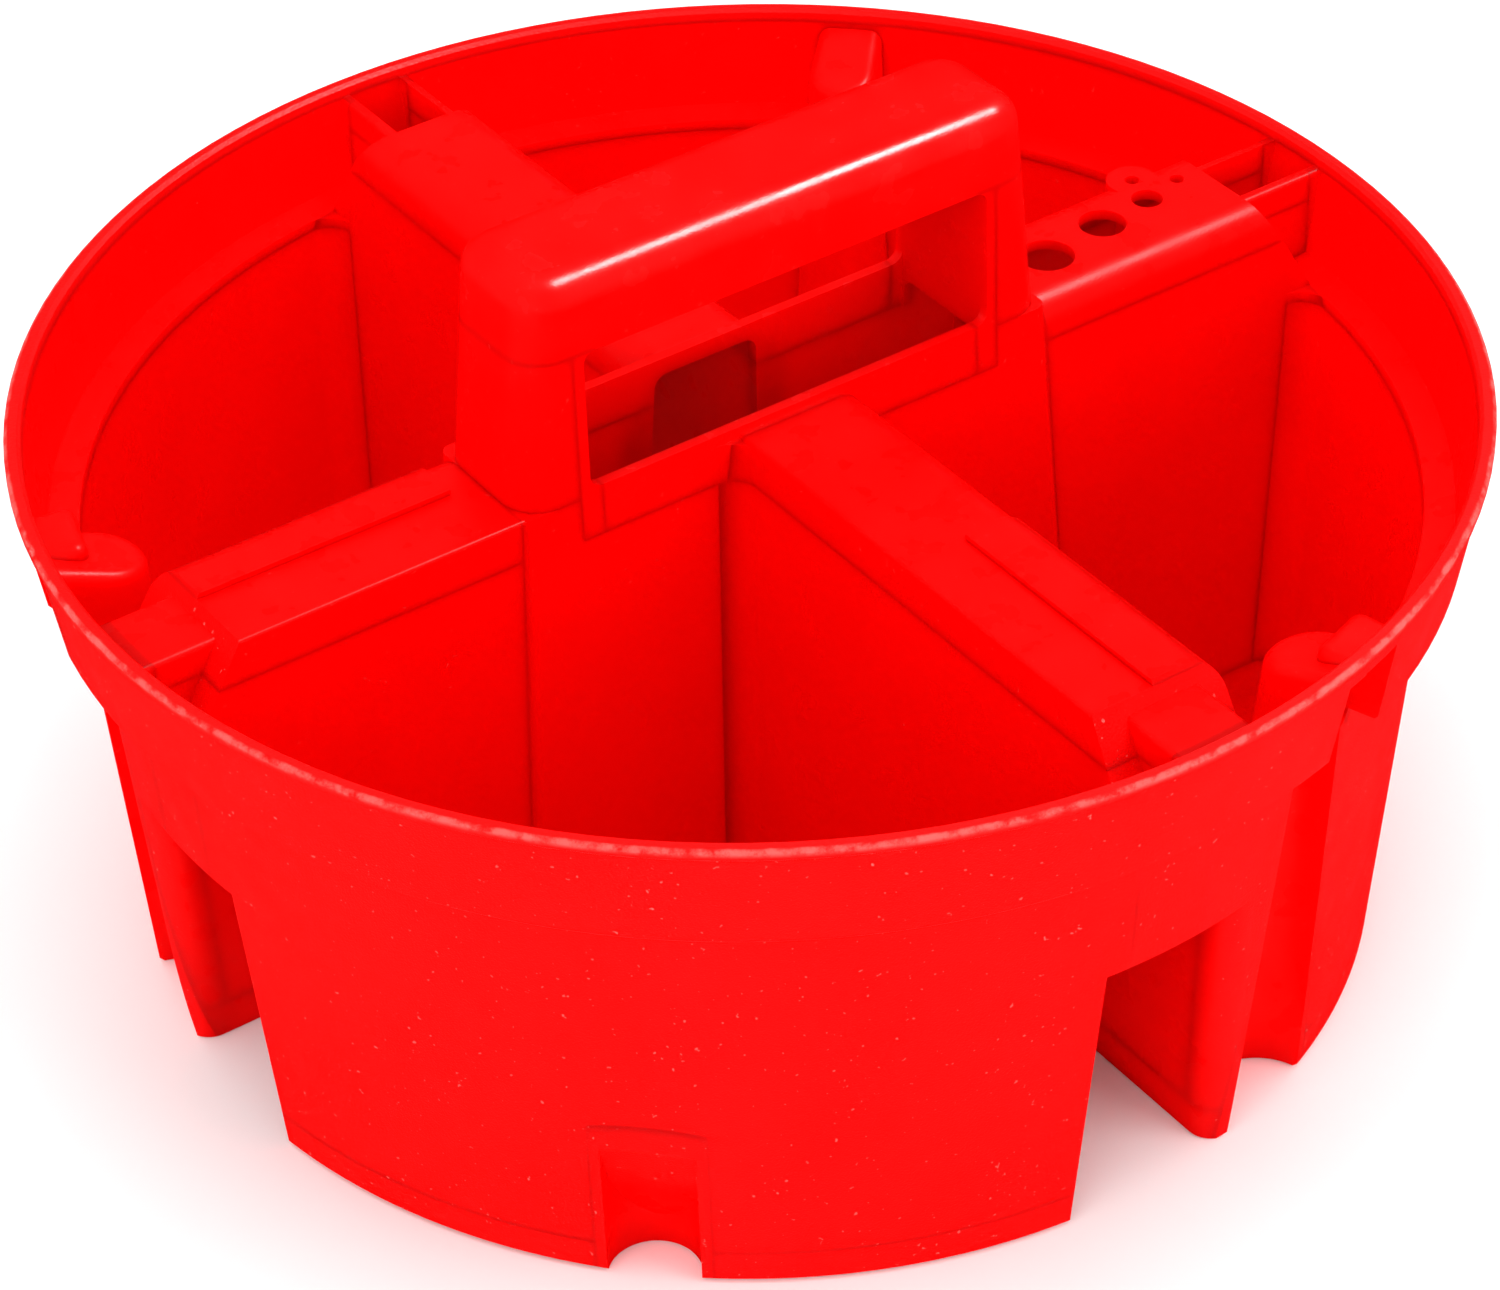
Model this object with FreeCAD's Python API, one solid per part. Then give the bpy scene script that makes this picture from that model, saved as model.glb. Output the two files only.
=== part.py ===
import FreeCAD, Part
import math
import os

# Four-bin cleaning caddy with a central carrying handle, moulded in one piece.
# Millimetres, +Z up. Origin at the centre of the base circle, on the ground.
# X runs along the handle. The front bin lies between the left (-X) and front (-Y) dividers.
# The moulding is built whole, so that its roundings run through, and is then divided into its walls.

V = FreeCAD.Vector
Z_AXIS = V(0, 0, 1)

# Overall sizes
RIM_RADIUS = 140.0
RIM_HEIGHT = 117.0
HANDLE_TOP = 163.5
WALL = 2.2
BELOW = -1.0                # cutting tools start just under the ground
ABOVE = 200.0               # and end above the handle
FAR = 180.0                 # past the rim
TINY = 0.1                  # tolerance when edges are picked by their place

# Rim lip, band and lower wall
LIP_HEIGHT = 2.6
LIP_EDGE = 0.7
LIP_INNER_RADIUS = 137.6
BAND_TOP_RADIUS = 139.2
BAND_BOTTOM_RADIUS = 136.0
BAND_BOTTOM = 93.2
LOWER_TOP_RADIUS = 130.0
BASE_RADIUS = 123.1
BASE_EDGE = 1.0
LOWER_SLOPE = (LOWER_TOP_RADIUS - BASE_RADIUS) / BAND_BOTTOM

# Floor
FLOOR_TOP = 4.2

# Dividers: half widths at rim height, growing downwards with the draft
SIDE_DIVIDER_HALF = 14.1    # along X, left and right
CROSS_DIVIDER_HALF = 13.8   # along Y, front and back
CROSS_DIVIDER_SHIFT = 1.2   # to the left of the centre line, looking outwards
DIVIDER_DRAFT = 2.4         # degrees
SOFT_EDGE = 6.5             # long top edges that face away from the front bin
CRISP_EDGE = 0.8            # long top edges beside the front bin
HOLLOW_EDGE = 3.0           # the same edges inside the soft ones
NECK_HALF = 8.2             # narrow neck that joins a divider to the band
NECK_DROP = 2.4
NECK_EDGE = 1.2
SHOULDER_SLOPE = 31.0       # degrees from vertical, where a divider narrows to its neck
CLOSED_LENGTH = 119.5       # left and front dividers, centre to shoulder
OPEN_LENGTH = 114.5         # right and back dividers, whose necks are open slots

# Raised rail on the left and front dividers
RAIL_HEIGHT = 1.1
RAIL_START = 66.0
RAIL_INNER = 1.0            # the rail starts this far across the divider's centre line

# Central box and handle
BOX_HALF_X = 60.0
BOX_HALF_Y = 14.7
BOX_DRAFT = 3.0             # degrees, below the rim
BOX_CORNER = 2.4
HANDLE_END_DRAFT = 4.5      # degrees, above the rim
HANDLE_SIDE_DRAFT = 1.4
HANDLE_CORNER = 8.0
HANDLE_EDGE = 5.6
WINDOW_HALF = 45.5
WINDOW_BOTTOM = RIM_HEIGHT + 1.5
WINDOW_TOP = RIM_HEIGHT + 30.7
WINDOW_CORNER = 2.6
JAMB_DEPTH = 9.0            # the window's jambs hang this far below the rim

# Tool holes in the right divider: (x, y, radius)
TOOL_HOLES = [(70.6, -1.0, 5.5), (86.5, 1.6, 4.8), (99.2, 3.4, 3.2), (101.2, 10.6, 1.5), (108.6, 5.6, 1.5)]
EAR_HOLE = 3                # the hole that sits in an ear on the divider's back edge
EAR_RADIUS = 5.2

# Gaps that part the lower wall under the dividers
GAP_TOP = 63.0
GAP_ROUND = 5.0
GAP_CRISP = 1.0             # beside the front bin

# Pockets and grooves, placed about the caddy's mirror line
MIRROR_ANGLE = -134.3       # degrees, through the middle of the front bin
BASE_POCKET_HALF = 8.8
BASE_POCKET_BACK = 113.3
BASE_POCKET_KNEE = 6.8      # height of its roof at the back
BASE_POCKET_TOP = 34.0      # and where it comes out of the wall
STACK_POCKET_HALF = 5.4     # at rim height
BACK_POCKET_HALF = 4.2
STACK_POCKET_DRAFT = 3.2    # degrees
STACK_POCKET_BACK = 110.0
STACK_POCKET_LEAN = 5.6     # degrees, the back leans outwards as it rises
STACK_POCKET_TOP = 102.8    # at the inner end of the base, from where the roof climbs outwards
STACK_POCKET_CLIMB = 16.0   # degrees
STACK_POCKET_OFFSET = 60.5  # degrees from the mirror line
GROOVE_HALF = 5.2
GROOVE_BACK = 129.0
GROOVE_BOTTOM = 89.4
GROOVE_TOP = 112.2
GROOVE_LEAN = 5.0           # degrees
GROOVE_OFFSET = 62.3        # degrees from the mirror line
POCKET_EDGE = 2.5           # rounding of their walls inside the bins

# Where the moulding is parted into its walls
SEAM = 0.05                 # past a wall's face
STRIP_HALF = 45.0           # half width of the strip that holds a divider

# Roundings inside the bins
CORNER_ROUND = 5.6
FLOOR_ROUND = 3.5


class Divider:
    """One arm of the cross, described as if it ran along +X."""

    def __init__(self, angle, edges, neck_shift, rail_side=0):
        across = angle % 180 == 90
        self.angle = angle
        self.start = BOX_HALF_Y if across else BOX_HALF_X       # where it leaves the central box
        self.half = CROSS_DIVIDER_HALF if across else SIDE_DIVIDER_HALF
        self.shift = CROSS_DIVIDER_SHIFT if across else 0
        self.length = CLOSED_LENGTH if rail_side else OPEN_LENGTH
        self.edges = edges              # roundings of its left and right long edges
        self.neck_shift = neck_shift
        self.rail_side = rail_side      # 1 left, -1 right, 0 for a divider with an open neck


DIVIDERS = {
    "front": Divider(270, (SOFT_EDGE, CRISP_EDGE), neck_shift=2.0, rail_side=1),
    "back": Divider(90, (SOFT_EDGE, SOFT_EDGE), neck_shift=-1.2),
    "left": Divider(180, (CRISP_EDGE, SOFT_EDGE), neck_shift=0.0, rail_side=-1),
    "right": Divider(0, (SOFT_EDGE, SOFT_EDGE), neck_shift=2.0),
}
BINS = {"front": 225, "right": 315, "back": 45, "left": 135}    # angle of the middle of each bin
BIN_NEIGHBOURS = {          # the dividers at each end of a bin, anticlockwise
    "right": ("front_divider", "right_divider"),
    "back": ("right_divider", "back_divider"),
    "left": ("back_divider", "left_divider"),
}


# ---- Helpers ------------------------------------------------------------------------------------

def rise(degrees, height):
    return math.tan(math.radians(degrees)) * height


def revolved(points):
    """Full-turn solid from a closed outline of (radius, height) points."""
    wire = Part.makePolygon([V(r, 0, z) for r, z in points + points[:1]])
    return Part.Face(wire).revolve(V(0, 0, 0), Z_AXIS, 360)


def rectangle(half_x, half_y, z):
    corners = [(-1, -1), (1, -1), (1, 1), (-1, 1), (-1, -1)]
    return Part.makePolygon([V(sx * half_x, sy * half_y, z) for sx, sy in corners])


def drafted_box(bottom, top, z0, z1):
    """Box on the axis whose half sizes change from bottom to top."""
    return Part.makeLoft([rectangle(*bottom, z0), rectangle(*top, z1)], True, True)


def box(x0, x1, y0, y1, z0, z1):
    return Part.makeBox(x1 - x0, y1 - y0, z1 - z0, V(x0, y0, z0))


def slab(z0, z1):
    return box(-FAR, FAR, -FAR, FAR, z0, z1)


def prism(points):
    """Solid as wide as the caddy, with an outline of (x, z) points."""
    wire = Part.makePolygon([V(x, -FAR, z) for x, z in points + points[:1]])
    return Part.Face(wire).extrude(V(0, 2 * FAR, 0))


def turned(shape, degrees):
    copy = shape.copy()
    copy.rotate(V(0, 0, 0), Z_AXIS, degrees)
    return copy


def moved(shape, y):
    copy = shape.copy()
    copy.translate(V(0, y, 0))
    return copy


def middle(edge):
    return edge.valueAt((edge.FirstParameter + edge.LastParameter) / 2)


def rounded(shape, radius, wanted):
    """Fillet every edge of the shape for which wanted(edge) is true."""
    return shape.makeFillet(radius, [edge for edge in shape.Edges if wanted(edge)])


def upright(edge):
    extent = edge.BoundBox
    return extent.ZLength > 3 * max(extent.XLength, extent.YLength)


def quadrant(angle, z0, z1):
    """The quarter of a slab that has a bin's middle at this angle."""
    return turned(box(0, FAR, 0, FAR, z0, z1), angle - 45)


# ---- Whole-turn shapes --------------------------------------------------------------------------

def outer_body():
    """Everything inside the outer face of the lip, the band and the lower wall."""
    lip_bottom = RIM_HEIGHT - LIP_HEIGHT
    return revolved([
        (0, 0),
        (BASE_RADIUS - BASE_EDGE, 0),
        (BASE_RADIUS, BASE_EDGE),
        (LOWER_TOP_RADIUS, BAND_BOTTOM),
        (BAND_BOTTOM_RADIUS - LIP_EDGE, BAND_BOTTOM),
        (BAND_BOTTOM_RADIUS, BAND_BOTTOM + LIP_EDGE),
        (BAND_TOP_RADIUS, lip_bottom),
        (RIM_RADIUS, lip_bottom + LIP_EDGE),
        (RIM_RADIUS, RIM_HEIGHT - LIP_EDGE),
        (RIM_RADIUS - LIP_EDGE, RIM_HEIGHT),
        (0, RIM_HEIGHT),
    ])


def lower_radius(z):
    return BASE_RADIUS + LOWER_SLOPE * z - WALL


def inner_space(bottom, top):
    """Everything inside the inner face of the same walls."""
    ledge = BAND_BOTTOM + WALL
    return revolved([
        (0, bottom),
        (lower_radius(bottom), bottom),
        (lower_radius(ledge), ledge),
        (BAND_BOTTOM_RADIUS - WALL, ledge + LIP_EDGE),
        (LIP_INNER_RADIUS - LIP_EDGE, RIM_HEIGHT - LIP_EDGE),
        (LIP_INNER_RADIUS, RIM_HEIGHT),
        (LIP_INNER_RADIUS, top),
        (0, top),
    ])


# ---- Dividers, necks, central box and handle ----------------------------------------------------

def arm(divider, inset, top=RIM_HEIGHT):
    """A divider up to its sloping shoulder, or with an inset the hollow inside it."""
    top -= inset
    low = divider.half - inset + rise(DIVIDER_DRAFT, RIM_HEIGHT - BELOW)
    high = divider.half - inset + rise(DIVIDER_DRAFT, RIM_HEIGHT - top)
    shoulder = divider.length - inset
    outline = [
        (0, BELOW),
        (shoulder + rise(SHOULDER_SLOPE, RIM_HEIGHT - BELOW), BELOW),
        (shoulder + rise(SHOULDER_SLOPE, RIM_HEIGHT - top), top),
        (0, top),
    ]
    block = drafted_box((FAR, low), (FAR, high), BELOW, top).common(prism(outline))
    for side, radius in zip((1, -1), divider.edges):
        inner_radius = HOLLOW_EDGE if radius > HOLLOW_EDGE else 0
        radius = inner_radius if inset else radius
        if radius:
            def long_top_edge(edge):
                point = middle(edge)
                return edge.Length > BOX_HALF_X and point.z > top - TINY and point.y * side > 1
            block = rounded(block, radius, long_top_edge)
    return turned(moved(block, divider.shift), divider.angle)


def rail(divider):
    """Raised part of a divider's top, on one side of its centre line."""
    raised = turned(arm(divider, 0, RIM_HEIGHT + RAIL_HEIGHT), -divider.angle)
    strip = sorted((divider.rail_side * RAIL_INNER, divider.rail_side * FAR))
    top = raised.common(box(RAIL_START, FAR, *strip, RIM_HEIGHT - SOFT_EDGE, ABOVE))
    return turned(top, divider.angle)


def neck(divider, inset):
    """The narrow stretch between a divider's shoulder and the band."""
    top = RIM_HEIGHT - NECK_DROP - inset
    half = NECK_HALF - inset
    block = box(BOX_HALF_X, FAR, -half, half, BELOW, top)

    def long_top_edge(edge):
        return edge.Length > BOX_HALF_X and middle(edge).z > top - TINY

    if not inset:
        block = rounded(block, NECK_EDGE, long_top_edge)
    return turned(moved(block, divider.neck_shift), divider.angle)


def open_slot(divider):
    """The slot through the top of an open neck."""
    half = NECK_HALF - WALL
    block = box(divider.length, FAR, -half, half, BELOW, ABOVE)
    return turned(moved(block, divider.neck_shift), divider.angle)


def central_box(inset):
    """The body between the dividers, below the rim."""
    spread = rise(BOX_DRAFT, RIM_HEIGHT - BELOW)
    half_x = BOX_HALF_X - inset
    half_y = BOX_HALF_Y - inset
    block = drafted_box((half_x + spread, half_y + spread), (half_x, half_y), BELOW, RIM_HEIGHT)
    return rounded(block, BOX_CORNER, upright) if inset == 0 else block


def handle(inset):
    """The handle above the rim, with its top edges rounded."""
    top = HANDLE_TOP - inset
    low_x = BOX_HALF_X - inset
    low_y = BOX_HALF_Y - inset
    high_x = low_x - rise(HANDLE_END_DRAFT, top - RIM_HEIGHT)
    high_y = low_y - rise(HANDLE_SIDE_DRAFT, top - RIM_HEIGHT)
    block = drafted_box((low_x, low_y), (high_x, high_y), RIM_HEIGHT, top)
    block = rounded(block, HANDLE_CORNER - inset, upright)
    return rounded(block, HANDLE_EDGE - inset, lambda edge: edge.BoundBox.ZMin > top - TINY)


def jambs():
    """The window's two side walls, which hang down into the central box."""
    jamb = box(WINDOW_HALF, WINDOW_HALF + WALL, -FAR, FAR, RIM_HEIGHT - JAMB_DEPTH, ABOVE)
    return jamb.fuse(turned(jamb, 180))


def window():
    """The hand window, through the front and back faces of the handle."""
    block = box(-WINDOW_HALF, WINDOW_HALF, -FAR, FAR, WINDOW_BOTTOM, WINDOW_TOP)
    return rounded(block, WINDOW_CORNER, lambda edge: edge.BoundBox.YLength > FAR)


# ---- Pockets and grooves in the outer wall ------------------------------------------------------

def pocket_outline(half, back, z):
    """Outline round at the back and running outwards along +X, at height z."""
    centre = back + half
    arc = Part.Arc(V(centre, half, z), V(back, 0, z), V(centre, -half, z)).toShape()
    sides = Part.makePolygon([V(centre, -half, z), V(FAR, -half, z), V(FAR, half, z), V(centre, half, z)])
    return Part.Wire([arc] + sides.Edges)


def pocket(half, draft, back, lean, roof, grow):
    """A pocket along +X under a roof outline of (x, z) points; grow adds the wall around it."""
    ends = []
    for z in (BELOW, RIM_HEIGHT):
        width = half + grow + rise(draft, RIM_HEIGHT - z)
        ends.append(pocket_outline(width, back - grow + rise(lean, z), z))
    return Part.makeLoft(ends, True, True).common(prism(roof))


def base_pocket(grow):
    """Pocket at the foot of the front bin, under a sloping roof."""
    mouth = BASE_RADIUS + LOWER_SLOPE * BASE_POCKET_TOP
    slope = (BASE_POCKET_TOP - BASE_POCKET_KNEE) / (mouth - BASE_POCKET_BACK)
    lift = grow * math.hypot(1, slope)
    knee = BASE_POCKET_KNEE + lift - slope * grow
    inner = BASE_POCKET_BACK - grow
    roof = [
        (inner, BELOW),
        (mouth + grow, BELOW),
        (mouth + grow, BASE_POCKET_TOP + lift + slope * grow),
        (inner, knee),
    ]
    return turned(pocket(BASE_POCKET_HALF, 0, BASE_POCKET_BACK, 0, roof, grow), MIRROR_ANGLE)


def on_pocket_wall(edge, above):
    """An edge of a pocket's wall that is inside the bin and above a height."""
    point = middle(edge)
    return point.z > above and point.x < FAR - TINY


def stack_pocket(angle, half, grow):
    """Tall pocket that rises to just under the lip."""
    inner = STACK_POCKET_BACK - grow
    top = STACK_POCKET_TOP + grow
    roof = [
        (inner, BELOW),
        (FAR, BELOW),
        (FAR, top + rise(STACK_POCKET_CLIMB, FAR - inner)),
        (inner, top),
    ]
    shape = pocket(half, STACK_POCKET_DRAFT, STACK_POCKET_BACK, STACK_POCKET_LEAN, roof, grow)
    if grow:
        shape = rounded(shape, POCKET_EDGE, lambda edge: on_pocket_wall(edge, top - TINY))
    return turned(shape, angle)


def groove(angle, grow):
    """Round-bottomed groove in the band, under the lip."""
    half = GROOVE_HALF + grow
    back = GROOVE_BACK - grow
    bottom = GROOVE_BOTTOM + GROOVE_HALF
    top = GROOVE_TOP + grow
    slot = box(back, FAR, -half, half, bottom, top)
    if grow:
        slot = rounded(slot, POCKET_EDGE, lambda edge: on_pocket_wall(edge, bottom + TINY))
    end = Part.makeCylinder(half, FAR - back, V(back, 0, bottom), V(1, 0, 0))
    shape = slot.fuse(end)
    shape.rotate(V(GROOVE_BACK, 0, GROOVE_BOTTOM), V(0, 1, 0), GROOVE_LEAN)
    return turned(shape, angle)


STACK_POCKETS = {           # by bin: angle and half width
    "right": (MIRROR_ANGLE + STACK_POCKET_OFFSET, STACK_POCKET_HALF),
    "back": (MIRROR_ANGLE + 180, BACK_POCKET_HALF),
    "left": (MIRROR_ANGLE - STACK_POCKET_OFFSET, STACK_POCKET_HALF),
}
GROOVE_ANGLES = {
    "right": MIRROR_ANGLE + GROOVE_OFFSET,
    "left": MIRROR_ANGLE - GROOVE_OFFSET,
}


def pockets(grow):
    """Every pocket and groove, by name."""
    shapes = {"base_pocket": base_pocket(grow)}
    for name, (angle, half) in STACK_POCKETS.items():
        shapes["stacking_pocket_" + name] = stack_pocket(angle, half, grow)
    for name, angle in GROOVE_ANGLES.items():
        shapes["band_groove_" + name] = groove(angle, grow)
    return shapes


# ---- The whole moulding -------------------------------------------------------------------------

def ear(inset):
    """The round ear about one of the tool holes, or with an inset the hollow inside it."""
    x, y = TOOL_HOLES[EAR_HOLE][:2]
    return Part.makeCylinder(EAR_RADIUS - inset, RIM_HEIGHT - inset - BELOW, V(x, y, BELOW))


def quarters(body, inset):
    """The four parts of a body that the dividers leave, below their shoulders."""
    cross = [central_box(inset)]
    outwards = box(0, FAR, -FAR, FAR, BELOW, ABOVE)
    for divider in DIVIDERS.values():
        high = divider.half - inset
        low = high + rise(DIVIDER_DRAFT, RIM_HEIGHT - BELOW)
        block = drafted_box((FAR, low), (FAR, high), BELOW, RIM_HEIGHT).common(outwards)
        cross.append(turned(moved(block, divider.shift), divider.angle))
    return body.cut(cross).Solids


def outer_corner(edge):
    point = middle(edge)
    return upright(edge) and math.hypot(point.x, point.y) > BASE_RADIUS - 3 * WALL


def inner_corner(edge):
    """A bin's upright corner on the outer wall, or between the central box and a cross divider."""
    return outer_corner(edge) or box_corner(edge)


def floor_edge(edge):
    return edge.BoundBox.ZMax < FLOOR_TOP + TINY


def box_corner(edge):
    point = middle(edge)
    return upright(edge) and math.hypot(point.x, point.y) < BOX_HALF_X / 2


def box_corner_fillers():
    """The roundings between the central box and the cross dividers, from the floors up to their edges."""
    front = quadrant(BINS["front"], BELOW, ABOVE)
    fillers = []
    for space in quarters(Part.makeCylinder(BOX_HALF_X, RIM_HEIGHT), 0):
        filler = space.cut(rounded(space, CORNER_ROUND, box_corner))
        if front.isInside(space.CenterOfMass, TINY, True):
            region = slab(BELOW, RIM_HEIGHT - CRISP_EDGE)
        else:
            region = fading_out(space)
        fillers.append(filler.common(region))
    return fillers


def fading_out(space):
    """The region in which a corner's rounding stays, so that it runs out beside a divider's soft edge."""
    x = math.copysign(CROSS_DIVIDER_HALF, space.CenterOfMass.x)
    y = math.copysign(BOX_HALF_Y, space.CenterOfMass.y)
    start = RIM_HEIGHT - SOFT_EDGE - CORNER_ROUND
    return slab(BELOW, start).fuse(Part.makeCone(CORNER_ROUND, 0, 2 * CORNER_ROUND, V(x, y, start)))


def bin_spaces():
    """The four open bins, with rounded corners and floors below the ledge."""
    cross = [central_box(0), handle(0), ear(0)]
    for divider in DIVIDERS.values():
        cross += [arm(divider, 0), neck(divider, 0)]
        if divider.rail_side:
            cross.append(rail(divider))
    ledge = BAND_BOTTOM + WALL
    inside = inner_space(FLOOR_TOP, ABOVE)
    spaces = inside.common(slab(ledge, ABOVE)).cut(cross + box_corner_fillers()).Solids
    for space in quarters(inside.common(slab(BELOW, ledge)), 0):
        space = rounded(space, CORNER_ROUND, inner_corner)
        spaces.append(rounded(space, FLOOR_ROUND, floor_edge))
    return Part.makeCompound(spaces).cut([ear(0)] + list(pockets(WALL).values()))


def open_hollow():
    """The space under all four dividers and the ear, open to the ground."""
    inside = inner_space(BELOW, ABOVE)
    shapes = [ear(WALL)]
    for divider in DIVIDERS.values():
        shapes += [arm(divider, WALL).common(inside), neck(divider, WALL).common(inside)]
        if not divider.rail_side:
            shapes.append(open_slot(divider).common(inside))
    return shapes


def handle_hollow():
    """The space in the central box and the handle, parted by the window's jambs."""
    return central_box(WALL).fuse(handle(WALL)).cut(jambs())


def gaps():
    """Everything outside the four feet, up to the tops of the gaps between them."""
    front = quadrant(BINS["front"], BELOW, ABOVE)
    shapes = []
    for foot in quarters(outer_body().common(slab(BELOW, GAP_TOP)), WALL):
        radius = GAP_CRISP if front.isInside(foot.CenterOfMass, TINY, True) else GAP_ROUND
        shapes.append(rounded(foot, radius, outer_corner))
    return slab(BELOW, GAP_TOP).cut(shapes)


def moulding():
    """The whole caddy as one solid."""
    rails = [rail(divider) for divider in DIVIDERS.values() if divider.rail_side]
    body = outer_body().fuse([handle(0)] + rails)
    cuts = [bin_spaces(), gaps(), window(), handle_hollow()] + open_hollow()
    cuts += pockets(0).values()
    for x, y, radius in TOOL_HOLES:
        cuts.append(Part.makeCylinder(radius, 4 * WALL, V(x, y, RIM_HEIGHT - 3 * WALL)))
    for cut in cuts:
        body = body.cut(cut)
    return body


# ---- The nodes ----------------------------------------------------------------------------------

def outside_wall(inset, z0, z1):
    """Everything outside the inner face of the lower wall, less an inset."""
    bottom = lower_radius(z0) - inset
    top = lower_radius(z1) - inset
    return slab(z0, z1).cut(revolved([(0, z0), (bottom, z0), (top, z1), (0, z1)]))


def outside(radius, z0, z1):
    """Everything outside a cylinder."""
    return slab(z0, z1).cut(Part.makeCylinder(radius, ABOVE))


def sector(start, end):
    """A wedge about the axis, between two angles."""
    wedge = Part.makeCylinder(2 * FAR, ABOVE - BELOW, V(0, 0, BELOW), Z_AXIS, (end - start) % 360)
    return turned(wedge, start)


def rim_cutters():
    """The lip all round, and the band in three stretches that meet at the stacking pockets."""
    lip_bottom = RIM_HEIGHT - LIP_HEIGHT
    yield "rim_lip", outside(BAND_BOTTOM_RADIUS, lip_bottom, ABOVE)
    yield from pockets(WALL).items()
    band = outside(BAND_BOTTOM_RADIUS - WALL - SEAM, BAND_BOTTOM, lip_bottom)
    ledge = outside(lower_radius(BAND_BOTTOM) - SEAM, BAND_BOTTOM, BAND_BOTTOM + WALL + LIP_EDGE)
    ends = {"front": ("left", "right"), "right": ("right", "back"), "left": ("back", "left")}
    for name, (start, end) in ends.items():
        wedge = sector(STACK_POCKETS[start][0], STACK_POCKETS[end][0])
        yield "rim_band_" + name, band.fuse(ledge).common(wedge)


def handle_cutters():
    """The grip, the posts at its ends, the window's jambs and the sills under the window."""
    across = BOX_HALF_Y + 1
    bottom = RIM_HEIGHT - JAMB_DEPTH
    yield "grip", box(-BOX_HALF_X, BOX_HALF_X, -across, across, WINDOW_TOP, ABOVE)
    for side, half_turn in (("right", 0), ("left", 180)):
        post = box(WINDOW_HALF + WALL, BOX_HALF_X, -across, across, RIM_HEIGHT, ABOVE)
        yield side + "_post", turned(post, half_turn)
        jamb = box(WINDOW_HALF - WINDOW_CORNER, WINDOW_HALF + WALL, -across, across, bottom, ABOVE)
        yield side + "_post_jamb", turned(jamb, half_turn)
    yield "front_sill", box(-WINDOW_HALF, WINDOW_HALF, -across, 0, bottom, ABOVE)
    yield "back_sill", box(-WINDOW_HALF, WINDOW_HALF, 0, across, bottom, ABOVE)


def lower_wall_cutters():
    """The bins' walls beside the central box, their floors and outer walls, and the bridges over the gaps."""
    spread = rise(BOX_DRAFT, RIM_HEIGHT - BELOW)
    half_x = BOX_HALF_X + SEAM
    half_y = BOX_HALF_Y + SEAM
    central = drafted_box((half_x + spread, half_y + spread), (half_x, half_y), BELOW, RIM_HEIGHT)
    for name, angle in BINS.items():
        yield name + "_bin_box_wall", central.common(quadrant(angle, BELOW, RIM_HEIGHT))
    floor_rounding = FLOOR_TOP + FLOOR_ROUND
    for name, angle in BINS.items():
        yield name + "_bin_floor", quadrant(angle, BELOW, floor_rounding)
    wall = outside_wall(CORNER_ROUND + SEAM, BELOW, BAND_BOTTOM)
    for name, divider in DIVIDERS.items():
        strip = box(divider.start, FAR, -NECK_HALF, NECK_HALF, GAP_TOP, BAND_BOTTOM)
        yield name + "_bridge", turned(strip, divider.angle).common(wall)
    for name, angle in BINS.items():
        bin_wall = quadrant(angle, floor_rounding, BAND_BOTTOM).common(wall)
        if name not in STACK_POCKETS:
            yield name + "_bin_outer_wall", bin_wall
            continue
        pocket_angle = STACK_POCKETS[name][0]
        before, after = BIN_NEIGHBOURS[name]
        yield name + "_bin_wall_by_" + before, bin_wall.common(sector(pocket_angle - 90, pocket_angle))
        yield name + "_bin_wall_by_" + after, bin_wall.common(sector(pocket_angle, pocket_angle + 90))


def divider_cutters():
    """A cap and two sides for each divider."""
    for name, divider in DIVIDERS.items():
        cap = box(divider.start, FAR, -STRIP_HALF, STRIP_HALF, RIM_HEIGHT - SOFT_EDGE - WALL, RIM_HEIGHT)
        yield name + "_divider_cap", turned(cap, divider.angle)
        for side, edge in (("left", 0), ("right", -STRIP_HALF)):
            strip = box(divider.start, FAR, edge, edge + STRIP_HALF, BELOW, RIM_HEIGHT)
            yield name + "_divider_" + side + "_side", turned(strip, divider.angle)


def cutters():
    """The regions that part the moulding, in the order in which they are taken off."""
    yield from rim_cutters()
    yield from handle_cutters()
    for name, divider in DIVIDERS.items():
        if divider.rail_side:
            region = box(divider.start, FAR, -STRIP_HALF, STRIP_HALF, RIM_HEIGHT, ABOVE)
            yield name + "_rail", turned(region, divider.angle)
    yield from lower_wall_cutters()
    yield from divider_cutters()


def main():
    os.makedirs("parts", exist_ok=True)
    rest = moulding()
    for name, cutter in cutters():
        node = rest.common(cutter)
        node.exportStep("parts/" + name + ".step")
        left_over = rest.Volume - node.Volume
        print(name, len(node.Solids), node.isValid())
        if left_over > TINY:
            rest = rest.cut(cutter)
    print("left over", round(left_over, 2), "mm3")


main()
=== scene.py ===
import math

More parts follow.
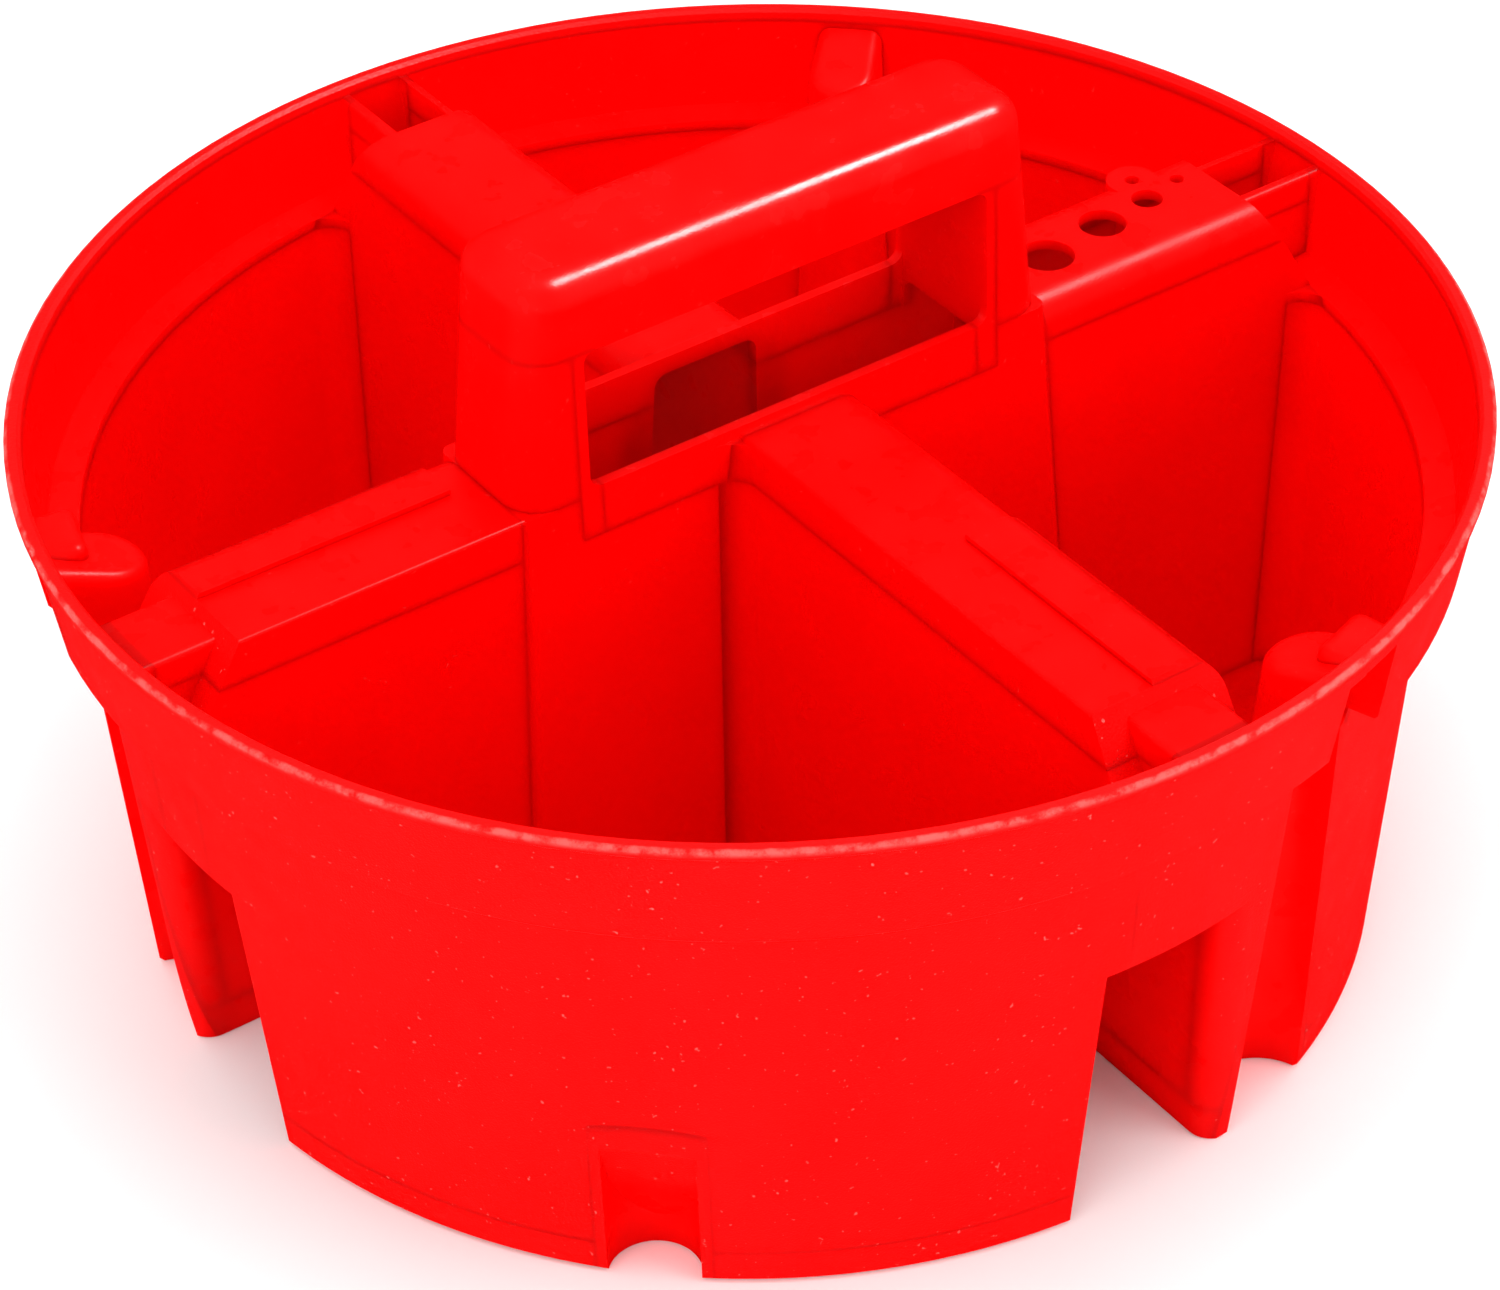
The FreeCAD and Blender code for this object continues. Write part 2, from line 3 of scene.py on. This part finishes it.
import bpy
from mathutils import Euler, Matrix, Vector


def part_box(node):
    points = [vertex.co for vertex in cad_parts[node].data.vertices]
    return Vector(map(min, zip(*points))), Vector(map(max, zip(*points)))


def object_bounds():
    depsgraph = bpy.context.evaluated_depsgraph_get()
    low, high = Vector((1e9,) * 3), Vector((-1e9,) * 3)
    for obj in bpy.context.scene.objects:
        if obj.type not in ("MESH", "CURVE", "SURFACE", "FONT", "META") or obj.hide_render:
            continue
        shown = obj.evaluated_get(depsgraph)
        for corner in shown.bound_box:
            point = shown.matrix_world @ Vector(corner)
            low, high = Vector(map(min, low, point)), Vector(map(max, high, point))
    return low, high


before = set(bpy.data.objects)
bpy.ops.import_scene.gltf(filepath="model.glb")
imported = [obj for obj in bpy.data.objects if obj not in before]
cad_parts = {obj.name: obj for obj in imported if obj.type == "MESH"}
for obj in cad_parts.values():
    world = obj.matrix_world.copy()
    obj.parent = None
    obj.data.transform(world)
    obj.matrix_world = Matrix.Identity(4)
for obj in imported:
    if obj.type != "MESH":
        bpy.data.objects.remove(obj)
CAD_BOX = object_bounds()

# Cleaning caddy: one red moulding on a pale floor. Metres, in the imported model's frame.
# Every node keeps its CAD shape. This script adds the plastic, the studio and the camera.

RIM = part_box("rim_lip")[1]
RIM_RADIUS = RIM.x
RIM_HEIGHT = RIM.z
OUTER_WALL = (0.84 * RIM_RADIUS, 0.87 * RIM_RADIUS)     # where the outer wall's finish fades in

# Camera, about the middle of the rim
CAMERA_DISTANCE = 0.91
CAMERA_AZIMUTH = -124.563       # degrees, from +X
CAMERA_ELEVATION = 34.287
CAMERA_PITCH = -3.2056          # turns away from the rim's middle
CAMERA_YAW = -0.0546
CAMERA_ROLL = -1.2371
LENS = 115.546
SENSOR = 36.0

# Plastic: colours, and the sizes of its noises in waves per metre
RED = (0.90, 0.0004, 0.0004, 1.0)
DEEP_RED = (0.86, 0.0002, 0.0002, 1.0)
# Paler red, painted on the outer wall as sheen
PAINTED_SHEEN_RED = (0.95, 0.0008, 0.0012, 1.0)
# Pale tone for the real pale specks, and for the rim's edge line, which is part scuffs and part painted
# highlight
SCUFF_AND_GLINT = (0.98, 0.10, 0.09, 1.0)
MOTTLE = 38.0
FLOW = 9.0
GRAIN = 2600.0
PITS = 900.0
SHINE = 120.0
RAGGED = 260.0
RIM_GRAIN = 1400.0

# Floor
FLOOR_SIZE = 12.0
FLOOR_GAP = 0.0003              # between the floor and the caddy's feet
FLOOR_TONES = (0.86, 0.86, 0.86, 1.0), (0.9, 0.9, 0.9, 1.0)


# ---- Node helpers -------------------------------------------------------------------------------

class Nodes:
    """Adds nodes to a material and links them."""

    def __init__(self, name):
        self.material = bpy.data.materials.new(name)
        self.material.use_nodes = True
        self.tree = self.material.node_tree
        self.shader = self.tree.nodes["Principled BSDF"]
        self.place = self.tree.nodes.new("ShaderNodeTexCoord").outputs["Object"]
        self.normal = self.tree.nodes.new("ShaderNodeNewGeometry").outputs["Normal"]

    def link(self, value, socket):
        if isinstance(value, bpy.types.NodeSocket):
            self.tree.links.new(value, socket)
        else:
            socket.default_value = value

    def math(self, operation, *values):
        node = self.tree.nodes.new("ShaderNodeMath")
        node.operation = operation
        for value, socket in zip(values, node.inputs):
            self.link(value, socket)
        return node.outputs[0]

    def vector(self, operation, *values, output=0):
        node = self.tree.nodes.new("ShaderNodeVectorMath")
        node.operation = operation
        for value, socket in zip(values, node.inputs):
            self.link(value, socket)
        return node.outputs[output]

    def noise(self, scale, detail=3.0, roughness=0.5, stretch=None):
        node = self.tree.nodes.new("ShaderNodeTexNoise")
        place = self.vector("MULTIPLY", self.place, stretch) if stretch else self.place
        self.link(place, node.inputs["Vector"])
        node.inputs["Scale"].default_value = scale
        node.inputs["Detail"].default_value = detail
        node.inputs["Roughness"].default_value = roughness
        return node.outputs["Fac"]

    def ramp(self, value, low, high, to_low=0.0, to_high=1.0):
        """Smooth step of a value from low to high."""
        node = self.tree.nodes.new("ShaderNodeMapRange")
        node.interpolation_type = "SMOOTHSTEP"
        for socket, given in zip(node.inputs, (value, low, high, to_low, to_high)):
            self.link(given, socket)
        return node.outputs[0]

    def mix(self, factor, a, b):
        node = self.tree.nodes.new("ShaderNodeMix")
        node.data_type = "RGBA"
        self.link(factor, node.inputs["Factor"])
        self.link(a, node.inputs["A"])
        self.link(b, node.inputs["B"])
        return node.outputs["Result"]

    def bump(self, height, strength, distance):
        node = self.tree.nodes.new("ShaderNodeBump")
        node.inputs["Strength"].default_value = strength
        node.inputs["Distance"].default_value = distance
        self.link(height, node.inputs["Height"])
        self.link(node.outputs["Normal"], self.shader.inputs["Normal"])


# ---- Plastic ------------------------------------------------------------------------------------

def radius_and_height(nodes):
    """Distance from the caddy's axis, and height, in metres."""
    split = nodes.tree.nodes.new("ShaderNodeSeparateXYZ")
    nodes.link(nodes.place, split.inputs[0])
    flat = nodes.vector("MULTIPLY", nodes.place, (1, 1, 0))
    return nodes.vector("LENGTH", flat, output="Value"), split.outputs["Z"]


def facing_out(nodes, radius):
    """1 on the faces that look outwards on the outer wall."""
    outwards = nodes.vector("NORMALIZE", nodes.vector("MULTIPLY", nodes.place, (1, 1, 0)))
    facing = nodes.vector("DOT_PRODUCT", outwards, nodes.normal, output="Value")
    near_wall = nodes.ramp(radius, *OUTER_WALL)
    return nodes.math("MULTIPLY", nodes.ramp(facing, 0.3, 0.8), near_wall)


def mottled_red(nodes):
    """The plastic's own colour, slightly uneven."""
    mottle = nodes.noise(MOTTLE, detail=4.0)
    return nodes.mix(nodes.ramp(mottle, 0.35, 0.65), DEEP_RED, RED)


def finish(shader, gloss):
    """How strongly the plastic shines, and the little light that comes through a thin wall."""
    shader.inputs["Specular IOR Level"].default_value = gloss
    shader.inputs["Subsurface Weight"].default_value = 0.6
    shader.inputs["Subsurface Radius"].default_value = (1.0, 0.02, 0.02)
    shader.inputs["Subsurface Scale"].default_value = 0.007


def moulded_plastic(name, gloss, roughness):
    """Red plastic: satin inside, and a matt grain with pale specks and streaks of painted sheen on the
    outer wall.
    """
    nodes = Nodes(name)
    radius = radius_and_height(nodes)[0]
    outside = facing_out(nodes, radius)
    flow = nodes.noise(FLOW, detail=2.0, stretch=(1.0, 1.0, 0.3))
    grain = nodes.noise(GRAIN, detail=2.0)
    pits = nodes.noise(PITS, detail=1.0)
    # Painted sheen: the outer wall's outward faces turn paler red in streaks of the flow noise
    painted_sheen = nodes.math("MULTIPLY", nodes.ramp(flow, 0.45, 0.6), outside)
    colour = nodes.mix(painted_sheen, mottled_red(nodes), PAINTED_SHEEN_RED)
    specks = nodes.math("MULTIPLY", nodes.ramp(pits, 0.72, 0.78), nodes.ramp(outside, 0.0, 1.0, 0.1, 1.0))
    colour = nodes.mix(specks, colour, SCUFF_AND_GLINT)
    nodes.link(colour, nodes.shader.inputs["Base Color"])
    varied = nodes.ramp(nodes.noise(SHINE), 0.3, 0.7, roughness - 0.04, roughness + 0.04)
    nodes.link(nodes.math("ADD", varied, nodes.math("MULTIPLY", outside, 0.2)),
               nodes.shader.inputs["Roughness"])
    finish(nodes.shader, gloss)
    rough_grain = nodes.math("MULTIPLY", grain, nodes.ramp(outside, 0.0, 1.0, 0.25, 1.0))
    nodes.bump(rough_grain, 0.5, 0.00025)
    return nodes.material


def rim_plastic():
    """The same plastic with a pale, ragged line along the rim's outer edge, part scuffs and part painted
    highlight.
    """
    nodes = Nodes("rim_plastic_with_scuffs_and_highlight")
    radius, height = radius_and_height(nodes)
    ragged = nodes.noise(RAGGED, detail=6.0, roughness=0.7)
    edge = nodes.math("ADD", radius, nodes.math("MULTIPLY", ragged, 0.0012))
    at_edge = nodes.ramp(edge, RIM_RADIUS - 0.0004, RIM_RADIUS + 0.0003)
    at_top = nodes.ramp(height, RIM_HEIGHT - 0.0016, RIM_HEIGHT - 0.0004)
    # Pale line on the rim's outer edge: part scuffs, part a painted highlight
    scuffs_and_highlight = nodes.math("MULTIPLY", nodes.math("MULTIPLY", at_edge, at_top), nodes.ramp(ragged, 0.35, 0.6))
    nodes.link(nodes.mix(scuffs_and_highlight, mottled_red(nodes), SCUFF_AND_GLINT), nodes.shader.inputs["Base Color"])
    nodes.link(nodes.ramp(scuffs_and_highlight, 0.0, 1.0, 0.38, 0.6), nodes.shader.inputs["Roughness"])
    finish(nodes.shader, 0.12)
    nodes.bump(nodes.noise(RIM_GRAIN, detail=3.0), 0.3, 0.0003)
    return nodes.material


def dress_nodes():
    """Gives every node its plastic. The handle is polished by use, and the lip's outer edge has a pale
    line, part scuffs and part painted highlight.
    """
    walls = moulded_plastic("moulded_red_plastic", 0.05, 0.30)
    handle = moulded_plastic("hand_polished_red_plastic", 0.15, 0.24)
    rim = rim_plastic()
    for name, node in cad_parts.items():
        material = walls
        if name == "rim_lip":
            material = rim
        elif name == "grip" or "_post" in name or "_sill" in name:
            material = handle
        node.data.materials.clear()
        node.data.materials.append(material)


# ---- Studio -------------------------------------------------------------------------------------

def floor():
    bpy.ops.mesh.primitive_plane_add(size=FLOOR_SIZE, location=(0, 0, CAD_BOX[0].z - FLOOR_GAP))
    plane = bpy.context.object
    plane.name = "studio_floor"
    nodes = Nodes("pale_floor")
    tone = nodes.ramp(nodes.noise(6.0, detail=2.0), 0.3, 0.7)
    nodes.link(nodes.mix(tone, *FLOOR_TONES), nodes.shader.inputs["Base Color"])
    nodes.shader.inputs["Roughness"].default_value = 0.7
    nodes.shader.inputs["Specular IOR Level"].default_value = 0.1
    plane.data.materials.append(nodes.material)
    plane.visible_glossy = False


def soft_box(name, location, size, power, highlight=False):
    """An area light aimed at the caddy: either soft light, or only the highlights on rounded edges."""
    data = bpy.data.lights.new(name, "AREA")
    data.shape = "RECTANGLE"
    data.size, data.size_y = size
    data.energy = power
    light = bpy.data.objects.new(name, data)
    light.location = location
    towards = Vector((0, 0, RIM_HEIGHT / 2)) - light.location
    light.rotation_mode = "QUATERNION"
    light.rotation_quaternion = towards.to_track_quat("-Z", "Y")
    light.visible_glossy = highlight
    light.visible_diffuse = not highlight
    bpy.context.scene.collection.objects.link(light)


def studio():
    world = bpy.data.worlds.new("studio")
    world.use_nodes = True
    background = world.node_tree.nodes["Background"]
    background.inputs["Color"].default_value = (1, 1, 1, 1)
    background.inputs["Strength"].default_value = 1.0
    world.cycles_visibility.glossy = False
    bpy.context.scene.world = world
    soft_box("overhead", (0.1, 0.2, 1.5), (1.6, 1.6), 14)
    soft_box("front_left", (-1.3, -0.7, 0.8), (1.0, 1.0), 9)
    soft_box("front_right", (0.7, -1.3, 0.7), (1.0, 1.0), 9)
    soft_box("edge_light", (0.70, -0.25, 1.35), (0.35, 0.35), 45, highlight=True)
    bpy.context.scene.view_settings.view_transform = "Standard"


def camera():
    """The camera, aimed at the middle of the rim and then turned by its pitch, yaw and roll."""
    azimuth = math.radians(CAMERA_AZIMUTH)
    elevation = math.radians(CAMERA_ELEVATION)
    target = Vector((0, 0, RIM_HEIGHT))
    back = Vector((
        math.cos(elevation) * math.cos(azimuth),
        math.cos(elevation) * math.sin(azimuth),
        math.sin(elevation),
    ))
    data = bpy.data.cameras.new("camera")
    data.lens = LENS
    data.sensor_width = SENSOR
    eye = bpy.data.objects.new("camera", data)
    eye.location = target + back * CAMERA_DISTANCE
    aim = (-back).to_track_quat("-Z", "Y").to_matrix()
    for axis, degrees in (("X", CAMERA_PITCH), ("Y", -CAMERA_YAW), ("Z", CAMERA_ROLL)):
        turn = Euler([math.radians(degrees) if axis == name else 0 for name in "XYZ"])
        aim = aim @ turn.to_matrix()
    eye.rotation_mode = "QUATERNION"
    eye.rotation_quaternion = aim.to_quaternion()
    bpy.context.scene.collection.objects.link(eye)
    bpy.context.scene.camera = eye


dress_nodes()
floor()
studio()
camera()
